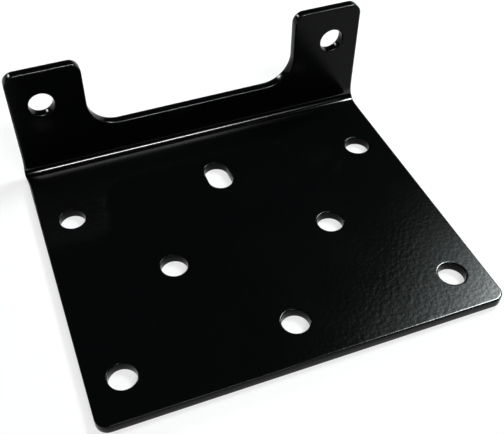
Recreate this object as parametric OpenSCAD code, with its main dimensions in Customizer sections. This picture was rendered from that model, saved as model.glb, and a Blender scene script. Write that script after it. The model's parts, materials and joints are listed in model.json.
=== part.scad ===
// Winch mounting plate: one sheet, folded up along its rear edge into a flange with two ears.
// X runs along the fold, Y from the front edge to the flange, Z up from the underside.

/* [Sheet] */
// Width of the plate, along the fold
plate_w = 148.7; // [140:0.1:180]
// Depth from the front edge to the rear face of the flange
plate_d = 128.4; // [118:0.1:170]
// Height from the underside to the tops of the ears
plate_h = 51.7; // [46:0.1:80]
// Thickness of the sheet
sheet_t = 4; // [2.5:0.1:6]
// Inside radius of the fold
fold_r = 4; // [2:0.1:8]
// Radius of the two front corners
front_corner_r = 4.4; // [2:0.1:9]
// Rounding that deburring and coating leave on every cut edge
edge_r = 0.4; // [0.2:0.05:0.8]

/* [Ears] */
// Width of the gap between the ears
gap_w = 89.5; // [70:0.1:100]
// Height of the gap's floor above the underside
gap_floor_z = 19.7; // [16:0.1:26]
// Radius of the gap's two lower corners
gap_corner_r = 12.5; // [5:0.1:18]
// Radius of the top corners of the ears
ear_corner_r = 4.5; // [2:0.1:9]

/* [Winch holes] */
// Diameter of the round holes, and width of the slot
hole_d = 10.1; // [8:0.1:12]
// Spacing of the four corner holes along the fold
corner_spacing_x = 123.8; // [100:0.1:128]
// Spacing of the four corner holes from front to rear
corner_spacing_y = 76.2; // [70:0.1:84]
// Distance from the front edge to the front two corner holes
front_row = 16.2; // [10:0.1:22]
// Spacing of the inner pair of holes along the fold
pair_spacing = 63.5; // [40:0.1:90]
// Distance from the front edge to the inner pair
pair_row = 55.6; // [45:0.1:65]
// Distance from the front edge to the hole between the front corner holes
middle_row = 16.6; // [10:0.1:30]
// Distance from the front edge to the middle of the slot
slot_row = 95.8; // [85:0.1:102]
// Distance between the centres of the slot's round ends
slot_travel = 5.3; // [1:0.1:12]

/* [Fairlead holes] */
// Spacing of the two holes in the ears
fairlead_spacing = 124; // [112:0.1:128]
// Height of the ear holes above the underside
fairlead_z = 36.5; // [28:0.1:40]

/* [Hidden] */
$fn = 96;
// How far a cut reaches past the sheet
over = 1;
cut_h = sheet_t + 2 * over;
front_y = -plate_d / 2;
rear_y = plate_d / 2;
// Where the flat base and the flat flange run into the fold
fold_y = rear_y - sheet_t - fold_r;
fold_z = sheet_t + fold_r;
ear_w = (plate_w - gap_w) / 2;
ear_x = (gap_w + ear_w) / 2;
ear_h = plate_h - fold_z;
// Centres of the gap's lower corners and of the ears' top corners
gap_corner_x = gap_w / 2 - gap_corner_r;
gap_side_z = gap_floor_z + gap_corner_r;
ear_top_z = plate_h - ear_corner_r;
front_row_y = front_y + front_row;
rear_row_y = front_row_y + corner_spacing_y;

// Places of the round holes in the base
base_holes = [
    [-corner_spacing_x / 2, front_row_y],
    [corner_spacing_x / 2, front_row_y],
    [-corner_spacing_x / 2, rear_row_y],
    [corner_spacing_x / 2, rear_row_y],
    [-pair_spacing / 2, front_y + pair_row],
    [pair_spacing / 2, front_y + pair_row],
    [0, front_y + middle_row]
];

// Each flat stretch of sheet is drawn lying on XY, from z = 0 to z = sheet_t.
// This stands such a stretch up as the flange, with y = 0 on the underside of the plate.
module on_flange() {
    translate([0, rear_y, 0]) rotate([90, 0, 0]) children();
}

// Turns a ring drawn about Z into the fold, from the base at X to the flange at Y
module on_fold() {
    translate([0, fold_y, fold_z]) rotate([0, 90, 0]) children();
}

module both_sides() {
    children();
    mirror([1, 0, 0]) children();
}

// Repeats what is cut from an edge at z = 0 on the upper and the lower face of the sheet
module both_faces() {
    translate([0, 0, sheet_t]) children();
    mirror([0, 0, 1]) children();
}

// Section of what a rounded edge loses: the edge at the origin, the sheet to the left and below
module edge_section() {
    difference() {
        translate([-edge_r, -edge_r]) square(edge_r + over);
        translate([-edge_r, -edge_r]) circle(edge_r);
    }
}

// A straight edge along Y, with the sheet on the side of -X
module straight_edge(length) {
    translate([0, length, 0]) rotate([90, 0, 0]) linear_extrude(length) edge_section();
}

// An edge that turns round a corner of the sheet
module outer_edge(r, turn = 90) {
    rotate_extrude(angle = turn) translate([r, 0]) edge_section();
}

// An edge that turns round an opening in the sheet
module inner_edge(r, turn = 90) {
    rotate_extrude(angle = turn) translate([r, 0]) mirror([1, 0]) edge_section();
}

module hole() {
    translate([0, 0, -over]) cylinder(d = hole_d, h = cut_h);
    both_faces() inner_edge(hole_d / 2, 360);
}

// A slot along Y
module slot() {
    translate([-hole_d / 2, -slot_travel / 2, -over]) cube([hole_d, slot_travel, cut_h]);
    for (end = [0, 180])
        rotate([0, 0, end]) {
            translate([0, slot_travel / 2, -over]) cylinder(d = hole_d, h = cut_h);
            both_faces() {
                translate([0, slot_travel / 2, 0]) inner_edge(hole_d / 2, 180);
                translate([-hole_d / 2, -slot_travel / 2, 0]) straight_edge(slot_travel);
            }
        }
}

// A rectangle that stands on the X axis, with its two upper corners rounded
module tab(w, h, r) {
    translate([-w / 2, 0]) square([w, h - r]);
    translate([-w / 2 + r, 0]) square([w - 2 * r, h]);
    for (side = [-1, 1])
        translate([side * (w / 2 - r), h - r]) circle(r);
}

module base_outline() {
    translate([0, fold_y]) mirror([0, 1]) tab(plate_w, fold_y - front_y, front_corner_r);
}

module flange_outline() {
    both_sides() translate([ear_x, fold_z]) tab(ear_w, ear_h, ear_corner_r);
    difference() {
        translate([-gap_w / 2, fold_z]) square([gap_w, gap_side_z - fold_z]);
        translate([0, gap_side_z + over]) mirror([0, 1]) tab(gap_w, gap_corner_r + over, gap_corner_r);
    }
}

module base_edges() {
    both_sides() {
        translate([plate_w / 2, front_y + front_corner_r, 0])
            straight_edge(fold_y - front_y - front_corner_r);
        translate([plate_w / 2 - front_corner_r, front_y + front_corner_r, 0])
            rotate([0, 0, -90]) outer_edge(front_corner_r);
    }
    translate([front_corner_r - plate_w / 2, front_y, 0])
        rotate([0, 0, -90]) straight_edge(plate_w - 2 * front_corner_r);
}

module flange_edges() {
    both_sides() {
        translate([plate_w / 2, fold_z, 0]) straight_edge(ear_top_z - fold_z);
        translate([plate_w / 2 - ear_corner_r, ear_top_z, 0]) outer_edge(ear_corner_r);
        translate([plate_w / 2 - ear_corner_r, plate_h, 0])
            rotate([0, 0, 90]) straight_edge(ear_w - 2 * ear_corner_r);
        translate([gap_w / 2 + ear_corner_r, ear_top_z, 0]) rotate([0, 0, 90]) outer_edge(ear_corner_r);
        translate([gap_w / 2, ear_top_z, 0]) rotate([0, 0, 180]) straight_edge(ear_top_z - gap_side_z);
        translate([gap_corner_x, gap_side_z, 0]) rotate([0, 0, -90]) inner_edge(gap_corner_r);
    }
    translate([gap_corner_x, gap_floor_z, 0]) rotate([0, 0, 90]) straight_edge(2 * gap_corner_x);
}

module fold_edges() {
    both_sides() on_fold() translate([0, 0, plate_w / 2]) {
        inner_edge(fold_r);
        outer_edge(fold_r + sheet_t);
    }
}

module fold() {
    on_fold() translate([0, 0, -plate_w / 2])
        rotate_extrude(angle = 90) translate([fold_r, 0]) square([sheet_t, plate_w]);
}

module mounting_plate() {
    color("#15171a") difference() {
        union() {
            linear_extrude(sheet_t) base_outline();
            fold();
            on_flange() linear_extrude(sheet_t) flange_outline();
        }
        both_faces() base_edges();
        fold_edges();
        on_flange() both_faces() flange_edges();
        for (place = base_holes)
            translate(place) hole();
        translate([0, front_y + slot_row]) slot();
        on_flange() both_sides() translate([fairlead_spacing / 2, fairlead_z]) hole();
    }
}

mounting_plate();
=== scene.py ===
"""Dresses the winch mounting plate: one folded steel sheet in black powder coat, on a pale floor."""
import json
from math import cos, pi, radians, sin

import bpy
from bpy.props import FloatProperty, FloatVectorProperty, PointerProperty
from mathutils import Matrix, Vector


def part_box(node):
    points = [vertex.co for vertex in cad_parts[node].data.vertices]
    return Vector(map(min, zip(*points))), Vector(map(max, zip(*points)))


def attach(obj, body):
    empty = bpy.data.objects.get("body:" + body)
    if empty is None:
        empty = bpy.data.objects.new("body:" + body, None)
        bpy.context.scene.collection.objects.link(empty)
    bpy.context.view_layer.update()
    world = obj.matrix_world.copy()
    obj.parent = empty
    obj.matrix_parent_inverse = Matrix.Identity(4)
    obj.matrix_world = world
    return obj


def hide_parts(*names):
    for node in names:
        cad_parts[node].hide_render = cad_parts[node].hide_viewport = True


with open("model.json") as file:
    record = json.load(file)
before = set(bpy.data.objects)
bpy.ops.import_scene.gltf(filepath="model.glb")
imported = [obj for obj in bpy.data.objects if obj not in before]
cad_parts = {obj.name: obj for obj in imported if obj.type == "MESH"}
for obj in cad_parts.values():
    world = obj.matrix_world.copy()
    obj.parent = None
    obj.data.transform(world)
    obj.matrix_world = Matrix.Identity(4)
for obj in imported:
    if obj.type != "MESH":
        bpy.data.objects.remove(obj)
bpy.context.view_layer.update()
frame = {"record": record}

bl_info = {
    "name": "Winch mounting plate",
    "version": (1, 0, 0),
    "blender": (4, 5, 0),
    "location": "View3D > Sidebar > Mounting plate",
    "description": "Folds a steel sheet into a winch mounting plate, coats it and sets it on a plain stage",
    "category": "Object",
}

NODE = "mounting_plate"
BODY = "root"
MM = 0.001

# How finely the sheet is divided
FOLD_ROWS = 104
FOLD_COLUMNS = 96
CORNER_STEPS = 20
EDGE_STEPS = 7
HOLE_STEPS = 80

# Kinds of opening that a point of the blank can stand for
ROUND_HOLE, SLOT = 1, 2
# Strip of each face that is made together with the rounded edge beside it
EDGE_LIP = 0.3 * MM
# Points closer than this count as one
HAIR = 0.01 * MM

# Sockets of a Mix node that blends two colours
FIRST_COLOUR, SECOND_COLOUR, MIXED_COLOUR = 6, 7, 2

PLATE_LOW, PLATE_HIGH = (Vector(corner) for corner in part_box(NODE))
MOUNTS = {mount["name"]: mount for mount in frame["record"]["mounts"]}


def length_property(name, description, default):
    """A length in metres, shown in the scene's units."""
    return FloatProperty(name=name, description=description, default=default, unit="LENGTH", precision=5)


def mount_place(name):
    return Vector(MOUNTS[name]["pos_m"])


def mount_spacing(name, axis):
    return MOUNTS[name]["dims"]["spacing_%s_mm" % axis] * MM


class PlateSizes(bpy.types.PropertyGroup):
    """Sizes of the folded sheet; width, depth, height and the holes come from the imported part."""
    width: length_property("Width", "Width of the plate, along the fold", PLATE_HIGH.x - PLATE_LOW.x)
    depth: length_property("Depth", "From the front edge to the rear of the flange",
                           PLATE_HIGH.y - PLATE_LOW.y)
    height: length_property("Height", "From the underside to the tops of the ears",
                            PLATE_HIGH.z - PLATE_LOW.z)
    sheet: length_property("Sheet", "Thickness of the sheet", 4.0 * MM)
    fold_radius: length_property("Fold radius", "Inside radius in the middle of the fold", 3.2 * MM)
    edge_drop: length_property("Edge drop", "How far the rounding of a cut edge runs down its wall",
                               0.4 * MM)
    edge_reach: length_property("Edge reach", "How far the rounding of a cut edge runs over the face",
                                0.6 * MM)
    front_corner: length_property("Front corner", "Radius of the two front corners", 4.4 * MM)
    ear_corner: length_property("Ear corner", "Radius of the top corners of the ears", 4.5 * MM)
    gap_width: length_property("Gap width", "Width of the gap between the ears", 89.5 * MM)
    gap_floor: length_property("Gap floor", "Height of the gap's floor above the underside", 19.7 * MM)
    gap_corner: length_property("Gap corner", "Radius of the gap's lower corners", 12.5 * MM)
    hole_radius: length_property("Hole radius", "Radius of the round holes and of the slot's ends",
                                 MOUNTS["corner_holes"]["dims"]["hole_r_mm"] * MM)
    slot_travel: length_property("Slot travel", "Between the centres of the slot's round ends", 5.3 * MM)
    swelling: length_property("Swelling", "How far the press pushes the inside of the fold out at its ends",
                              0.6 * MM)
    swelling_reach: length_property("Swelling reach", "How far in from the ends the swelling starts",
                                    9.0 * MM)
    end_drop: length_property("End drop", "How far the inside of the fold falls away at its ends",
                              0.5 * MM)
    end_reach: length_property("End reach", "How far in from the ends it starts to fall away", 6.0 * MM)
    fold_lift: length_property("Fold lift", "How far the fold is filled out as it eases into the flats",
                               0.4 * MM)
    fold_ease: length_property("Fold ease", "Distance over which that filling out dies away", 2.3 * MM)


def share_property(name, description, default):
    return FloatProperty(name=name, description=description, default=default, min=0, max=1,
                         subtype="FACTOR")


def colour_property(name, description, default):
    return FloatVectorProperty(name=name, description=description, default=default, size=3,
                               subtype="COLOR", min=0, max=1)


def glow_property(name, description, default):
    return FloatProperty(name=name, description=description, default=default, min=0)


class CoatLook(bpy.types.PropertyGroup):
    """Finish of the powder coat."""
    cool_black: colour_property("Cool black", "Colour of the coat where it leans to blue",
                                (0.0012, 0.0017, 0.0019))
    warm_black: colour_property("Warm black", "Colour of the coat where it leans to olive",
                                (0.0017, 0.0017, 0.0015))
    dust: colour_property("Dust", "Colour of the specks of dust", (0.12, 0.12, 0.11))
    smooth: share_property("Smoothest", "Roughness where the coat flowed out well", 0.10)
    dull: share_property("Dullest", "Roughness where the coat stayed duller", 0.13)
    ear_dull: share_property("Ears", "Roughness of the thinner coat on the ears", 0.21)
    wall_dull: share_property("Walls", "Roughness of the thin coat on the cut walls", 0.15)
    base_shine: share_property("Base shine", "How strongly the base reflects", 0.60)
    ear_shine: share_property("Ear shine", "How strongly the ears reflect", 0.08)
    cut_shine: share_property("Cut shine", "How strongly the smooth upper part of the cut walls reflects",
                              0.03)
    break_shine: share_property("Break shine", "How strongly the torn lower part of the cut walls reflects",
                                0.13)
    edge_shine: share_property("Edge shine", "How strongly the thickest coat on the edges reflects", 1.0)
    thin_from: length_property("Thin from", "Height where the coat starts to thin out up the flange", 5 * MM)
    thin_to: length_property("Thin to", "Height where the coat is as thin as on the ears", 9 * MM)
    dull_to: length_property("Dull to", "Height where the thinner coat is as dull as on the ears", 18 * MM)
    peel_size: length_property("Peel size", "Width of one dimple of the coat's orange peel", 1.5 * MM)
    peel_depth: length_property("Peel depth", "Depth of the orange peel", 0.049 * MM)
    peel_from: length_property("Peel from", "Distance behind the middle where the peel starts to fade",
                               30 * MM)
    peel_to: length_property("Peel to", "Distance behind the middle where the coat has flowed smooth",
                             50 * MM)
    calm_from: length_property("Calm from", "Distance to the right where the peel starts to calm",
                               48 * MM)
    calm_to: length_property("Calm to", "Distance to the right where the peel is calmest",
                             72 * MM)


class StageLook(bpy.types.PropertyGroup):
    """Floor and lamps."""
    floor_colour: colour_property("Floor", "Colour of the floor", (0.9, 0.9, 0.9))
    strip_glow: glow_property("Strip lamp", "Brightness of the strip lamp above the camera", 42.0)
    side_glow: glow_property("Side lamp", "Brightness of the soft lamp on the right", 37.0)
    rear_glow: glow_property("Rear lamp", "Brightness of the small lamp behind the plate", 60.0)


def plug(tree, socket, value):
    """Links a node or a socket to the given socket, or sets it to a plain value."""
    if isinstance(value, bpy.types.Node):
        value = next(output for output in value.outputs if output.enabled)
    if isinstance(value, bpy.types.NodeSocket):
        tree.links.new(value, socket)
    else:
        socket.default_value = value


def add_node(tree, kind, inputs=None, **settings):
    """Adds a node; inputs are given by name or number, settings are the node's own choices."""
    node = tree.nodes.new(kind)
    for name, value in settings.items():
        setattr(node, name, value)
    for key, value in (inputs or {}).items():
        plug(tree, node.inputs[key], value)
    return node


def calculate(tree, operation, first, second=0.0):
    """The output of one Math node."""
    node = add_node(tree, "ShaderNodeMath", {0: first}, operation=operation)
    if len(node.inputs) > 1:
        plug(tree, node.inputs[1], second)
    return node.outputs[0]


def vector_of(tree, x, y, z):
    return add_node(tree, "ShaderNodeCombineXYZ", {"X": x, "Y": y, "Z": z}).outputs[0]


def joined(tree, *parts):
    node = tree.nodes.new("GeometryNodeJoinGeometry")
    # A joined socket stacks its links from the last to the first
    for part in reversed(parts):
        plug(tree, node.inputs[0], part)
    return node


def folded_plate_tree():
    """Geometry Nodes that cut a flat blank, round its edges and fold it."""
    tree = bpy.data.node_groups.new("Folded plate", "GeometryNodeTree")
    tree.interface.new_socket("Blank", in_out="INPUT", socket_type="NodeSocketGeometry")
    for name in ("Sheet", "Edge drop", "Edge reach", "Edge lip", "Half width", "Fold radius",
                 "Fold start", "Fold length", "Zone start", "Zone end", "Hole radius", "Slot travel",
                 "Swelling", "Swelling reach", "End drop", "End reach", "Fold lift", "Fold ease"):
        socket = tree.interface.new_socket(name, in_out="INPUT", socket_type="NodeSocketFloat")
        socket.subtype = "DISTANCE"
    tree.interface.new_socket("Coat", in_out="INPUT", socket_type="NodeSocketMaterial")
    tree.interface.new_socket("Plate", in_out="OUTPUT", socket_type="NodeSocketGeometry")
    given = tree.nodes.new("NodeGroupInput").outputs
    result = tree.nodes.new("NodeGroupOutput")

    sheet = given["Sheet"]
    inset = calculate(tree, "ADD", given["Edge reach"], given["Edge lip"])

    def stored(name):
        node = add_node(tree, "GeometryNodeInputNamedAttribute", {"Name": name}, data_type="FLOAT")
        return node.outputs["Attribute"]

    def split(kind):
        return add_node(tree, "ShaderNodeSeparateXYZ", {0: tree.nodes.new(kind)}).outputs

    def place():
        return split("GeometryNodeInputPosition")

    def is_kind(value):
        return add_node(tree, "FunctionNodeCompare", {"A": stored("hole_kind"), "B": value},
                        data_type="FLOAT", operation="EQUAL")

    def lies_between(value, low, high):
        return calculate(tree, "MULTIPLY", calculate(tree, "GREATER_THAN", value, low),
                         calculate(tree, "LESS_THAN", value, high))

    # Outline of the blank, with its corners rounded
    path = add_node(tree, "GeometryNodeMeshToCurve", {"Mesh": given["Blank"]})
    outline = add_node(tree, "GeometryNodeFilletCurve",
                       {"Curve": path, "Count": CORNER_STEPS, "Radius": stored("corner_radius")},
                       mode="POLY")

    # Round holes and the slot, run backwards so that the steel is on their left, as on the outline's
    circle = add_node(tree, "GeometryNodeCurvePrimitiveCircle",
                      {"Resolution": HOLE_STEPS, "Radius": given["Hole radius"]}, mode="RADIUS")
    circle = add_node(tree, "GeometryNodeTransform",
                      {"Geometry": circle, "Rotation": (0, 0, pi / HOLE_STEPS)})
    circle = add_node(tree, "GeometryNodeReverseCurve", {"Curve": circle})
    half_travel = calculate(tree, "MULTIPLY", given["Slot travel"], 0.5)
    end_shift = calculate(tree, "MULTIPLY", calculate(tree, "SIGN", place()["Y"]), half_travel)
    slot = add_node(tree, "GeometryNodeSetPosition",
                    {"Geometry": circle, "Offset": vector_of(tree, 0.0, end_shift, 0.0)})
    round_holes = add_node(tree, "GeometryNodeInstanceOnPoints",
                           {"Points": given["Blank"], "Selection": is_kind(ROUND_HOLE), "Instance": circle})
    slots = add_node(tree, "GeometryNodeInstanceOnPoints",
                     {"Points": given["Blank"], "Selection": is_kind(SLOT), "Instance": slot})
    openings = add_node(tree, "GeometryNodeRealizeInstances",
                        {"Geometry": joined(tree, round_holes, slots)})
    cuts = joined(tree, outline, openings)
    cuts = add_node(tree, "GeometryNodeSetCurveNormal", {"Curve": cuts}, mode="Z_UP")

    # Wall with two rounded edges along every cut
    top = calculate(tree, "MULTIPLY", sheet, -1.0)
    stretch = calculate(tree, "DIVIDE", given["Edge reach"], given["Edge drop"])
    inward = calculate(tree, "MULTIPLY", calculate(tree, "DIVIDE", inset, stretch), -1.0)
    section = add_node(tree, "GeometryNodeCurvePrimitiveQuadrilateral",
                       {"Point 1": vector_of(tree, inward, top, 0.0),
                        "Point 2": vector_of(tree, 0.0, top, 0.0),
                        "Point 3": (0, 0, 0),
                        "Point 4": vector_of(tree, inward, 0.0, 0.0)}, mode="POINTS")
    section = add_node(tree, "GeometryNodeSetSplineCyclic", {"Geometry": section, "Cyclic": False})
    section = add_node(tree, "GeometryNodeFilletCurve",
                       {"Curve": section, "Count": EDGE_STEPS, "Radius": given["Edge drop"]}, mode="POLY")
    section = add_node(tree, "GeometryNodeTransform",
                       {"Geometry": section, "Scale": vector_of(tree, stretch, 1.0, 1.0)})
    walls = add_node(tree, "GeometryNodeCurveToMesh", {"Curve": cuts, "Profile Curve": section})
    walls = add_node(tree, "GeometryNodeSetShadeSmooth", {"Geometry": walls, "Shade Smooth": True})

    # Marks for the coat: how far the rounding has turned, from 0 at the wall to 1 at the face
    half_sheet = calculate(tree, "MULTIPLY", sheet, 0.5)
    half_wall = calculate(tree, "SUBTRACT", half_sheet, given["Edge drop"])
    from_core = calculate(tree, "ABSOLUTE", calculate(tree, "SUBTRACT", place()["Z"], half_sheet))
    past_wall = calculate(tree, "SUBTRACT", from_core, half_wall)
    turned = calculate(tree, "DIVIDE", past_wall, given["Edge drop"])
    on_flange = calculate(tree, "GREATER_THAN", place()["Y"], given["Zone end"])

    # On the base the coat draws back from the outer part of the rounding and gathers beside the face
    wall_end = 0.01
    thin_end = 0.92
    face_start = 0.995
    drawn_back = 0.09
    base_outer = calculate(tree, "MULTIPLY", lies_between(turned, wall_end, thin_end), drawn_back)
    base_inner = lies_between(turned, thin_end, face_start)
    base_build = calculate(tree, "ADD", base_outer, base_inner)

    # On the flange it gathers on the outer part, along the edges that end up level
    gathered_end = 0.7
    above_zero = 0.000001
    facing = split("GeometryNodeInputNormal")
    upward = calculate(tree, "POWER", facing["Y"], 2.0)
    sideways = calculate(tree, "ADD", calculate(tree, "POWER", facing["X"], 2.0), above_zero)
    levelled = calculate(tree, "DIVIDE", upward, calculate(tree, "ADD", upward, sideways))
    levelled = calculate(tree, "MINIMUM", calculate(tree, "MULTIPLY", levelled, 2.0), 1.0)
    flange_build = calculate(tree, "MULTIPLY", lies_between(turned, wall_end, gathered_end), levelled)
    extra_build = calculate(tree, "SUBTRACT", flange_build, base_build)
    build_up = calculate(tree, "ADD", base_build, calculate(tree, "MULTIPLY", on_flange, extra_build))
    flange_less = calculate(tree, "MULTIPLY", on_flange, thin_end - wall_end)
    thin = calculate(tree, "LESS_THAN", turned, calculate(tree, "SUBTRACT", thin_end, flange_less))
    depth = calculate(tree, "SUBTRACT", 1.0, calculate(tree, "DIVIDE", place()["Z"], sheet))
    for name, share in (("edge", build_up), ("wall", thin), ("depth", depth)):
        walls = add_node(tree, "GeometryNodeStoreNamedAttribute",
                         {"Geometry": walls, "Name": name, "Value": share},
                         data_type="FLOAT", domain="POINT")

    # Flat faces of base and flange inside the rounded edges, each closed along its side of the fold
    tangent = tree.nodes.new("GeometryNodeInputTangent")
    to_steel = add_node(tree, "ShaderNodeVectorMath", {0: (0, 0, 1), 1: tangent},
                        operation="CROSS_PRODUCT")
    step_in = add_node(tree, "ShaderNodeVectorMath", {0: to_steel, "Scale": inset}, operation="SCALE")
    borders = add_node(tree, "GeometryNodeSetPosition", {"Geometry": cuts, "Offset": step_in})
    across = place()

    def flat_face(keep, closing):
        kept = add_node(tree, "GeometryNodeSeparateGeometry",
                        {"Geometry": borders, "Selection": keep}, domain="POINT")
        fine_cuts = calculate(tree, "MULTIPLY", closing, FOLD_COLUMNS - 1)
        border = add_node(tree, "GeometryNodeSubdivideCurve", {"Curve": kept, "Cuts": fine_cuts})
        return add_node(tree, "GeometryNodeFillCurve", {"Curve": border}, mode="TRIANGLES")

    def up_to(line):
        return calculate(tree, "LESS_THAN", across["Y"], calculate(tree, "ADD", given[line], HAIR))

    def onwards_from(line):
        return calculate(tree, "GREATER_THAN", across["Y"], calculate(tree, "SUBTRACT", given[line], HAIR))

    on_right = calculate(tree, "GREATER_THAN", across["X"], 0.0)
    on_left = calculate(tree, "LESS_THAN", across["X"], 0.0)
    base = flat_face(up_to("Zone start"), calculate(tree, "MULTIPLY", onwards_from("Zone start"), on_right))
    flange = flat_face(onwards_from("Zone end"), calculate(tree, "MULTIPLY", up_to("Zone end"), on_left))
    flats = add_node(tree, "GeometryNodeSetShadeSmooth",
                     {"Geometry": joined(tree, base, flange), "Shade Smooth": False})

    # Finely divided face of the fold between them
    half_inside = calculate(tree, "SUBTRACT", given["Half width"], inset)
    inner_width = calculate(tree, "MULTIPLY", half_inside, 2.0)
    zone_length = calculate(tree, "SUBTRACT", given["Zone end"], given["Zone start"])
    zone_sum = calculate(tree, "ADD", given["Zone end"], given["Zone start"])
    zone_middle = calculate(tree, "MULTIPLY", zone_sum, 0.5)
    fold = add_node(tree, "GeometryNodeMeshGrid",
                    {"Size X": inner_width, "Size Y": zone_length,
                     "Vertices X": FOLD_COLUMNS + 1, "Vertices Y": FOLD_ROWS + 1})
    fold = add_node(tree, "GeometryNodeTransform",
                    {"Geometry": fold, "Translation": vector_of(tree, 0.0, zone_middle, 0.0)})
    fold = add_node(tree, "GeometryNodeSetShadeSmooth", {"Geometry": fold, "Shade Smooth": True})
    face = joined(tree, flats, fold)
    upper = add_node(tree, "GeometryNodeTransform",
                     {"Geometry": face, "Translation": vector_of(tree, 0.0, 0.0, sheet)})
    lower = add_node(tree, "GeometryNodeFlipFaces", {"Mesh": face})
    blank = joined(tree, walls, upper, lower)
    blank = add_node(tree, "GeometryNodeMergeByDistance", {"Geometry": blank, "Distance": HAIR})

    # The press swells the inside of the fold at both ends, and draws the outside in
    hump_reach = 0.62
    outside_pull = -0.35
    at = place()
    past_start = calculate(tree, "SUBTRACT", at["Y"], given["Fold start"])
    along = calculate(tree, "DIVIDE", past_start, given["Fold length"])
    from_middle = calculate(tree, "DIVIDE", calculate(tree, "SUBTRACT", along, 0.5), hump_reach)
    fading = calculate(tree, "POWER", from_middle, 2.0)
    hump = calculate(tree, "EXPONENT", calculate(tree, "MULTIPLY", fading, -1.0))
    side = calculate(tree, "ABSOLUTE", at["X"])
    from_end = calculate(tree, "SUBTRACT", given["Half width"], side)
    nearness = add_node(tree, "ShaderNodeMapRange",
                        {"Value": from_end, "From Min": given["Swelling reach"], "From Max": 0.0,
                         "To Min": 0.0, "To Max": 1.0}, interpolation_type="SMOOTHERSTEP").outputs[0]
    inside = calculate(tree, "DIVIDE", at["Z"], sheet)
    push = calculate(tree, "MULTIPLY", calculate(tree, "MULTIPLY", hump, nearness), given["Swelling"])
    outward = calculate(tree, "MULTIPLY", calculate(tree, "SIGN", at["X"]), push)
    spread = add_node(tree, "ShaderNodeMapRange",
                      {"Value": inside, "From Min": 0.0, "From Max": 1.0,
                       "To Min": outside_pull, "To Max": 1.0}, clamp=True).outputs[0]
    new_x = calculate(tree, "ADD", at["X"], calculate(tree, "MULTIPLY", outward, spread))

    # The sheet eases into the fold and out of it, and its inside falls away at both ends
    axis_height = calculate(tree, "ADD", given["Fold radius"], sheet)
    past_end = calculate(tree, "SUBTRACT", past_start, given["Fold length"])
    lying = calculate(tree, "MINIMUM", past_start, 0.0)
    standing = calculate(tree, "MAXIMUM", past_end, 0.0)
    flat_run = calculate(tree, "ADD", lying, standing)
    bent_run = calculate(tree, "SUBTRACT", calculate(tree, "SUBTRACT", past_start, flat_run),
                         calculate(tree, "MULTIPLY", given["Fold length"], 0.5))
    inner_share = calculate(tree, "DIVIDE", calculate(tree, "MULTIPLY", given["Fold radius"], pi / 2),
                            given["Fold length"])
    from_crease = calculate(tree, "ADD", calculate(tree, "MULTIPLY", bent_run, inner_share), flat_run)
    easing = calculate(tree, "COSH", calculate(tree, "DIVIDE", from_crease, given["Fold ease"]))
    lift = calculate(tree, "DIVIDE", given["Fold lift"], easing)
    near_end = add_node(tree, "ShaderNodeMapRange",
                        {"Value": from_end, "From Min": given["End reach"], "From Max": 0.0,
                         "To Min": 0.0, "To Max": 1.0}).outputs[0]
    drop = calculate(tree, "MULTIPLY", calculate(tree, "MULTIPLY", near_end, near_end), given["End drop"])
    drop = calculate(tree, "MULTIPLY", calculate(tree, "MULTIPLY", drop, hump), inside)
    level = calculate(tree, "SUBTRACT", calculate(tree, "ADD", at["Z"], lift), drop)

    # The fold itself: rows past its start turn about its axis, and the flange stands up beyond it
    bent_share = add_node(tree, "ShaderNodeClamp", {"Value": along}).outputs[0]
    turn = calculate(tree, "MULTIPLY", bent_share, pi / 2)
    reach = calculate(tree, "SUBTRACT", axis_height, level)
    new_y = calculate(tree, "ADD", given["Fold start"], lying)
    new_y = calculate(tree, "ADD", new_y, calculate(tree, "MULTIPLY", reach, calculate(tree, "SINE", turn)))
    new_z = calculate(tree, "SUBTRACT", axis_height,
                      calculate(tree, "MULTIPLY", reach, calculate(tree, "COSINE", turn)))
    new_z = calculate(tree, "ADD", new_z, standing)
    plate = add_node(tree, "GeometryNodeSetPosition",
                     {"Geometry": blank, "Position": vector_of(tree, new_x, new_y, new_z)})

    plate = add_node(tree, "GeometryNodeRealizeInstances", {"Geometry": plate})
    plate = add_node(tree, "GeometryNodeSetMaterial", {"Geometry": plate, "Material": given["Coat"]})
    plug(tree, result.inputs["Plate"], plate)
    return tree


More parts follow.
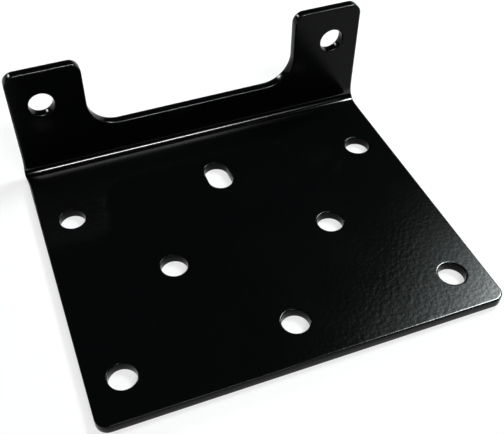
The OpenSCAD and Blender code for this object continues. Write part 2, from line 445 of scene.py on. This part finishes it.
def powder_coat(look):
    """Glossy black powder coat with orange peel, a slight drift of tint and a little dust."""
    material = bpy.data.materials.new("powder_coat")
    material.use_nodes = True
    tree = material.node_tree
    shader = tree.nodes["Principled BSDF"]
    where = tree.nodes.new("ShaderNodeTexCoord").outputs["Object"]

    # Drift between the two blacks
    drift = add_node(tree, "ShaderNodeTexNoise", {"Vector": where, "Scale": 14.0, "Detail": 2.0})
    tint = add_node(tree, "ShaderNodeMix",
                    {"Factor": drift.outputs["Fac"], FIRST_COLOUR: (*look.cool_black, 1),
                     SECOND_COLOUR: (*look.warm_black, 1)}, data_type="RGBA")

    # A speck of dust in some cells of a loose scatter
    empty_share = 0.72
    speck_radius = 0.018
    speck_cover = 0.6
    cells = add_node(tree, "ShaderNodeTexVoronoi", {"Vector": where, "Scale": 130.0, "Randomness": 1.0})
    chance = add_node(tree, "ShaderNodeSeparateColor", {0: cells.outputs["Color"]}).outputs[0]
    filled = calculate(tree, "GREATER_THAN", chance, empty_share)
    speck_size = calculate(tree, "MULTIPLY", filled, speck_radius)
    speck = calculate(tree, "LESS_THAN", cells.outputs["Distance"], speck_size)
    dusted = add_node(tree, "ShaderNodeMix",
                      {"Factor": calculate(tree, "MULTIPLY", speck, speck_cover),
                       FIRST_COLOUR: tint.outputs[MIXED_COLOUR], SECOND_COLOUR: (*look.dust, 1)},
                      data_type="RGBA")
    plug(tree, shader.inputs["Base Color"], dusted.outputs[MIXED_COLOUR])

    def marked(name):
        return add_node(tree, "ShaderNodeAttribute", attribute_name=name).outputs["Fac"]

    def blend(share, low, high):
        node = add_node(tree, "ShaderNodeMix", {"Factor": share, "A": low, "B": high}, data_type="FLOAT")
        return node.outputs["Result"]

    def between(value, start, end, low, high):
        node = add_node(tree, "ShaderNodeMapRange", {"Value": value, "From Min": start, "From Max": end,
                                                     "To Min": low, "To Max": high})
        return node.outputs["Result"]

    # The coat is thinner and duller up the ears and on the cut walls, and thicker on the rounded edges
    along = add_node(tree, "ShaderNodeSeparateXYZ", {0: where}).outputs
    shine = between(along["Z"], look.thin_from, look.thin_to, look.base_shine, look.ear_shine)
    shine = blend(marked("wall"), shine, blend(marked("depth"), look.cut_shine, look.break_shine))
    shine = blend(marked("edge"), shine, look.edge_shine)
    plug(tree, shader.inputs["Specular IOR Level"], shine)
    shader.inputs["IOR"].default_value = 1.5

    # Patches where the coat flowed out better or worse
    best_flow = 0.3
    worst_flow = 0.7
    flow = add_node(tree, "ShaderNodeTexNoise", {"Vector": where, "Scale": 45.0, "Detail": 3.0})
    gloss = between(flow.outputs["Fac"], best_flow, worst_flow, look.smooth, look.dull)
    gloss = blend(between(along["Z"], look.thin_to, look.dull_to, 0.0, 1.0), gloss, look.ear_dull)
    gloss = blend(marked("wall"), gloss, look.wall_dull)
    plug(tree, shader.inputs["Roughness"], gloss)

    # Orange peel, which flows out towards the fold and calms towards the right edge
    left_at_fold = 0.25
    left_at_right = 0.6
    peel = add_node(tree, "ShaderNodeTexNoise",
                    {"Vector": where, "Scale": 1.0 / look.peel_size, "Detail": 2.0, "Roughness": 0.45})
    to_fold = between(along["Y"], look.peel_from, look.peel_to, 1.0, left_at_fold)
    to_right = between(along["X"], look.calm_from, look.calm_to, 1.0, left_at_right)
    bump = add_node(tree, "ShaderNodeBump", {"Height": peel.outputs["Fac"], "Distance": look.peel_depth,
                                             "Strength": calculate(tree, "MULTIPLY", to_fold, to_right)})
    plug(tree, shader.inputs["Normal"], bump)
    return material


def blank_mesh(sizes):
    """Driving points of the flat blank: its outline, with a radius at each corner, and its holes."""
    half = sizes.width / 2
    front = PLATE_HIGH.y - sizes.depth
    # The sheet keeps its length at this share of its thickness, counted from the inside of the fold
    neutral_share = 0.42
    fold_start = PLATE_HIGH.y - sizes.sheet - sizes.fold_radius
    fold_length = pi / 2 * (sizes.fold_radius + neutral_share * sizes.sheet)
    # The finely divided zone takes in the fold and this much on both sides of it
    margin = 10 * MM
    zone_start = fold_start - margin
    zone_end = fold_start + fold_length + margin

    def unfolded(height):
        return fold_start + fold_length + height - sizes.sheet - sizes.fold_radius

    rows = [zone_start + (zone_end - zone_start) * row / FOLD_ROWS for row in range(FOLD_ROWS + 1)]
    ear_top = unfolded(sizes.height)
    gap_floor = unfolded(sizes.gap_floor)
    half_gap = sizes.gap_width / 2
    corners = [(-half, front, sizes.front_corner), (half, front, sizes.front_corner)]
    corners += [(half, row, 0.0) for row in rows]
    corners += [(half, ear_top, sizes.ear_corner), (half_gap, ear_top, sizes.ear_corner),
                (half_gap, gap_floor, sizes.gap_corner), (-half_gap, gap_floor, sizes.gap_corner),
                (-half_gap, ear_top, sizes.ear_corner), (-half, ear_top, sizes.ear_corner)]
    corners += [(-half, row, 0.0) for row in reversed(rows)]

    holes = []
    centre = mount_place("corner_holes")
    for side in (-0.5, 0.5):
        for end in (-0.5, 0.5):
            holes.append((side * mount_spacing("corner_holes", "x"),
                          centre.y + end * mount_spacing("corner_holes", "y"), ROUND_HOLE))
        holes.append((side * mount_spacing("inner_pair", "x"), mount_place("inner_pair").y, ROUND_HOLE))
        holes.append((side * mount_spacing("fairlead_holes", "x"),
                      unfolded(mount_place("fairlead_holes").z), ROUND_HOLE))
    holes.append((0.0, mount_place("front_middle_hole").y, ROUND_HOLE))
    holes.append((0.0, mount_place("rear_slot").y, SLOT))

    count = len(corners)
    mesh = bpy.data.meshes.new("blank")
    mesh.from_pydata([(x, y, 0.0) for x, y, _ in corners + holes],
                     [(index, (index + 1) % count) for index in range(count)], [])
    radii = mesh.attributes.new("corner_radius", "FLOAT", "POINT")
    kinds = mesh.attributes.new("hole_kind", "FLOAT", "POINT")
    for index, (_, _, radius) in enumerate(corners):
        radii.data[index].value = radius
    for index, (_, _, kind) in enumerate(holes):
        kinds.data[count + index].value = kind
    bends = {"Fold start": fold_start, "Fold length": fold_length,
             "Zone start": zone_start, "Zone end": zone_end}
    return mesh, bends


def set_inputs(modifier, values):
    """Sets a modifier's inputs by the identifiers of their sockets."""
    for item in modifier.node_group.interface.items_tree:
        if item.item_type == "SOCKET" and item.in_out == "INPUT" and item.name in values:
            modifier[item.identifier] = values[item.name]


class PLATE_OT_folded_plate(bpy.types.Operator):
    """Fold and coat the mounting plate, with its holes, slot, ears and rounded edges"""
    bl_idname = "mounting_plate.folded_plate"
    bl_label = "Folded plate"

    def execute(self, context):
        sizes = context.scene.plate_sizes
        coat = powder_coat(context.scene.coat_look)
        blank, bends = blank_mesh(sizes)
        former = bpy.data.objects.new("blank", blank)
        context.collection.objects.link(former)
        modifier = former.modifiers.new("Folded plate", "NODES")
        modifier.node_group = folded_plate_tree()
        set_inputs(modifier, {
            "Sheet": sizes.sheet, "Half width": sizes.width / 2, "Fold radius": sizes.fold_radius,
            "Edge drop": sizes.edge_drop, "Edge reach": sizes.edge_reach, "Edge lip": EDGE_LIP,
            "Hole radius": sizes.hole_radius, "Slot travel": sizes.slot_travel,
            "Swelling": sizes.swelling, "Swelling reach": sizes.swelling_reach,
            "End drop": sizes.end_drop, "End reach": sizes.end_reach,
            "Fold lift": sizes.fold_lift, "Fold ease": sizes.fold_ease,
            "Coat": coat, **bends})
        shaped = former.evaluated_get(context.evaluated_depsgraph_get())
        mesh = bpy.data.meshes.new_from_object(shaped)
        former.modifiers.remove(modifier)
        bpy.data.objects.remove(former)

        # Every edge of a closed plate has a face on both sides
        sides = {}
        for face in mesh.polygons:
            for key in face.edge_keys:
                sides[key] = sides.get(key, 0) + 1
        open_edges = sum(1 for count in sides.values() if count != 2)
        if open_edges or not mesh.polygons:
            raise RuntimeError("the folded plate isn't closed: %d open edges" % open_edges)

        for attribute in ("corner_radius", "hole_kind"):
            if attribute in mesh.attributes:
                mesh.attributes.remove(mesh.attributes[attribute])
        mesh.name = "folded_plate"
        piece = bpy.data.objects.new("folded_plate", mesh)
        context.collection.objects.link(piece)
        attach(piece, BODY)
        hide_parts(NODE)
        return {"FINISHED"}


def floor_material(colour):
    """Pale matt floor that the camera and reflections see as white, with the plate's shadow on it."""
    # Share of the floor's colour that takes light and shade; the rest of the white is its own glow
    shaded_share = 0.4
    # Distances from the plate's middle between which that glow grows
    near, far = 0.35, 2.5
    near_glow, far_glow = 0.65, 1.0
    material = bpy.data.materials.new("pale_floor")
    material.use_nodes = True
    tree = material.node_tree
    tree.nodes.clear()
    matt = add_node(tree, "ShaderNodeBsdfDiffuse", {"Color": (*colour, 1)})
    shaded = add_node(tree, "ShaderNodeBsdfDiffuse",
                      {"Color": (*(shaded_share * part for part in colour), 1)})
    # Far from the lamps the floor would turn grey, so it glows more there
    spot = tree.nodes.new("ShaderNodeTexCoord").outputs["Object"]
    away = add_node(tree, "ShaderNodeVectorMath", {0: spot}, operation="LENGTH").outputs["Value"]
    glow = add_node(tree, "ShaderNodeMapRange",
                    {"Value": away, "From Min": near, "From Max": far,
                     "To Min": near_glow, "To Max": far_glow}).outputs["Result"]
    white = add_node(tree, "ShaderNodeEmission", {"Color": (1, 1, 1, 1), "Strength": glow})
    seen = add_node(tree, "ShaderNodeAddShader", {0: shaded, 1: white})
    ray = tree.nodes.new("ShaderNodeLightPath").outputs
    direct = calculate(tree, "MAXIMUM", ray["Is Camera Ray"], ray["Is Glossy Ray"])
    direct = calculate(tree, "MAXIMUM", direct, ray["Is Transmission Ray"])
    mixed = add_node(tree, "ShaderNodeMixShader", {0: direct, 1: matt, 2: seen})
    add_node(tree, "ShaderNodeOutputMaterial", {"Surface": mixed})
    return material


def studio_floor(colour):
    """A wide round floor whose rim curves up, so that its edge stays out of sight."""
    steps = 96
    under = -0.1 * MM
    # The rim is low in front, because the fold mirrors it, and high beside and behind the plate
    front_rise = 0.2
    rear_rise = 1.6
    # It rises between these places, counted from -1 in front to 1 behind
    low_end = -0.93
    high_start = -0.48
    # Radius of each ring and the share of the rise that it has reached
    rings = [(0.4, 0.0), (1.5, 0.0), (4.5, 0.0), (6.0, 0.06), (7.2, 0.3), (7.8, 0.65), (8.0, 1.0)]
    points = [(0.0, 0.0, under)]
    faces = []
    for number, (radius, share) in enumerate(rings):
        for step in range(steps):
            angle = 2 * pi * step / steps
            turned_away = min(max((sin(angle) - low_end) / (high_start - low_end), 0), 1)
            rise = front_rise + (rear_rise - front_rise) * turned_away
            points.append((radius * cos(angle), radius * sin(angle), under + share * rise))
            after = (step + 1) % steps
            outer = 1 + number * steps
            inner = outer - steps
            if number == 0:
                faces.append((0, outer + step, outer + after))
            else:
                faces.append((inner + step, outer + step, outer + after, inner + after))
    mesh = bpy.data.meshes.new("studio_floor")
    mesh.from_pydata(points, [], faces)
    mesh.materials.append(floor_material(colour))
    mesh.shade_smooth()
    return bpy.data.objects.new("studio_floor", mesh)


def lamp_falloff():
    """Shader nodes that let a lamp fade from its lit core towards its rims."""
    tree = bpy.data.node_groups.new("Lamp falloff", "ShaderNodeTree")
    for name in ("Width", "Height", "Core width", "Core height", "Core shift", "Core rise", "Fade"):
        tree.interface.new_socket(name, in_out="INPUT", socket_type="NodeSocketFloat")
    tree.interface.new_socket("Share", in_out="OUTPUT", socket_type="NodeSocketFloat")
    given = tree.nodes.new("NodeGroupInput").outputs
    result = tree.nodes.new("NodeGroupOutput")
    spot = tree.nodes.new("ShaderNodeNewGeometry").outputs["Parametric"]
    spot = add_node(tree, "ShaderNodeSeparateXYZ", {0: spot}).outputs

    def past_core(share, size, core, middle):
        spot_at = calculate(tree, "MULTIPLY", calculate(tree, "SUBTRACT", share, 0.5), size)
        from_middle = calculate(tree, "ABSOLUTE", calculate(tree, "SUBTRACT", spot_at, middle))
        past = calculate(tree, "SUBTRACT", from_middle, calculate(tree, "MULTIPLY", core, 0.5))
        return calculate(tree, "POWER", calculate(tree, "MAXIMUM", past, 0.0), 2.0)

    across = past_core(spot["X"], given["Width"], given["Core width"], given["Core shift"])
    upward = past_core(spot["Y"], given["Height"], given["Core height"], given["Core rise"])
    distance = calculate(tree, "SQRT", calculate(tree, "ADD", across, upward))
    depth = calculate(tree, "DIVIDE", distance, given["Fade"])
    share = calculate(tree, "EXPONENT", calculate(tree, "MULTIPLY", depth, -1.0))
    plug(tree, result.inputs["Share"], share)
    return tree


def soft_lamp(name, place, turn, size, core, middle, fade, glow, colour):
    """A rectangular lamp, turned in degrees; its core has the given glow and fades towards the rims."""
    width, height = size
    light = bpy.data.lights.new(name, "AREA")
    light.shape = "RECTANGLE"
    light.size = width
    light.size_y = height
    light.energy = glow * pi * width * height
    light.color = colour
    light.use_nodes = True
    tree = light.node_tree
    falloff = add_node(tree, "ShaderNodeGroup", node_tree=bpy.data.node_groups["Lamp falloff"])
    for socket, value in zip(falloff.inputs, (width, height, *core, *middle, fade)):
        socket.default_value = value
    plug(tree, tree.nodes["Emission"].inputs["Strength"], falloff)
    lamp = bpy.data.objects.new(name, light)
    lamp.location = place
    lamp.rotation_euler = [radians(part) for part in turn]
    lamp.visible_camera = False
    bpy.context.collection.objects.link(lamp)


class PLATE_OT_stage(bpy.types.Operator):
    """Set up the floor, the lamps, the dim room and the camera"""
    bl_idname = "mounting_plate.stage"
    bl_label = "Stage"

    def execute(self, context):
        scene = context.scene
        look = scene.stage_look
        floor = studio_floor(look.floor_colour)
        context.collection.objects.link(floor)

        lamp_falloff()
        soft_lamp("strip_lamp", place=(0.265, -1.376, 2.053), turn=(35, 0, 0), size=(1.9, 0.22),
                  core=(0.67, 0.22), middle=(0, 0), fade=0.125, glow=look.strip_glow, colour=(1, 1, 1))
        soft_lamp("side_lamp", place=(0.733, 0.415, 1.0), turn=(0, 0, 43), size=(0.9, 0.53),
                  core=(0.40, 0.216), middle=(-0.06, -0.157), fade=0.0565, glow=look.side_glow,
                  colour=(0.92, 1, 1))
        soft_lamp("rear_lamp", place=(-0.56, 1.2, 0.7), turn=(-63, 0, 25), size=(0.2, 0.2),
                  core=(0.16, 0.16), middle=(0, 0), fade=0.02, glow=look.rear_glow, colour=(1, 1, 1))

        room = bpy.data.worlds.new("dim_room")
        room.use_nodes = True
        backdrop = room.node_tree.nodes["Background"]
        backdrop.inputs["Color"].default_value = (0.85, 0.95, 1.0, 1)
        backdrop.inputs["Strength"].default_value = 0.008
        scene.world = room

        # Camera that was fitted to the outline and the holes in the photo
        camera = bpy.data.cameras.new("photo_camera")
        camera.sensor_fit = "HORIZONTAL"
        camera.sensor_width = 36.0
        camera.lens = 54.805
        camera.shift_x = 0.04685
        camera.shift_y = 0.00482
        camera.clip_start = 0.01
        viewer = bpy.data.objects.new("photo_camera", camera)
        viewer.location = (-74.909 * MM, -188.428 * MM, 220.063 * MM)
        viewer.rotation_euler = (radians(43.7542), radians(0.467), radians(-20.2472))
        context.collection.objects.link(viewer)
        scene.camera = viewer
        scene.view_settings.view_transform = "Standard"
        return {"FINISHED"}


class PLATE_PT_sidebar(bpy.types.Panel):
    """Lists the steps that build the plate and its stage"""
    bl_label = "Mounting plate"
    bl_idname = "PLATE_PT_sidebar"
    bl_space_type = "VIEW_3D"
    bl_region_type = "UI"
    bl_category = "Mounting plate"

    def draw(self, context):
        for operator in (PLATE_OT_folded_plate, PLATE_OT_stage):
            self.layout.operator(operator.bl_idname)
        for group in ("plate_sizes", "coat_look", "stage_look"):
            settings = getattr(context.scene, group)
            box = self.layout.box()
            for name in settings.__annotations__:
                box.prop(settings, name)


CLASSES = (PlateSizes, CoatLook, StageLook, PLATE_OT_folded_plate, PLATE_OT_stage, PLATE_PT_sidebar)


def register():
    for each in CLASSES:
        bpy.utils.register_class(each)
    bpy.types.Scene.plate_sizes = PointerProperty(type=PlateSizes)
    bpy.types.Scene.coat_look = PointerProperty(type=CoatLook)
    bpy.types.Scene.stage_look = PointerProperty(type=StageLook)


def unregister():
    del bpy.types.Scene.stage_look
    del bpy.types.Scene.coat_look
    del bpy.types.Scene.plate_sizes
    for each in reversed(CLASSES):
        bpy.utils.unregister_class(each)


def main():
    register()
    bpy.ops.mounting_plate.stage()
    bpy.ops.mounting_plate.folded_plate()


if __name__ == "__main__":
    main()
